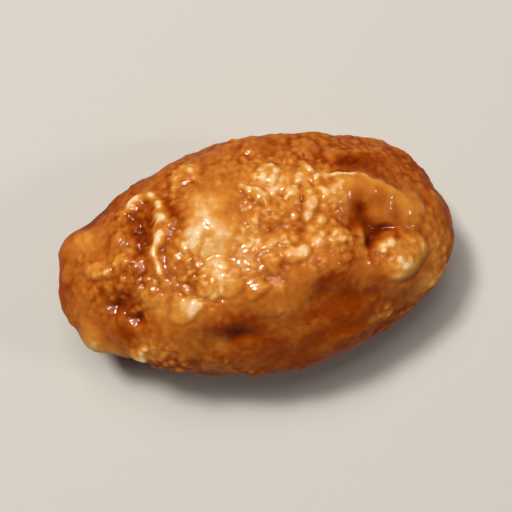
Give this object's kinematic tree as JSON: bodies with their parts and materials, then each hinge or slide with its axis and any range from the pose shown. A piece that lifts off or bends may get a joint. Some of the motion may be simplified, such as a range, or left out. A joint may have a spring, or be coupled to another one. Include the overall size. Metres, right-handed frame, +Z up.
{
  "type": "toffee almond",
  "caption": "Whole almond in a lumpy, glossy amber crust of boiled sugar: a blunt, slightly tapered oval sweet.",
  "frame": {"origin": "centre of the bounding box's bottom face, on the surface that the sweet lies on", "axes": "+X along the almond towards its blunt end, +Y across it, +Z up through its thickness"},
  "size_m": [0.029, 0.0174, 0.0128],
  "materials": {
    "toffee": "glossy"
  },
  "bodies": {
    "root": {"toffee_almond": "toffee"}
  },
  "joints": []
}
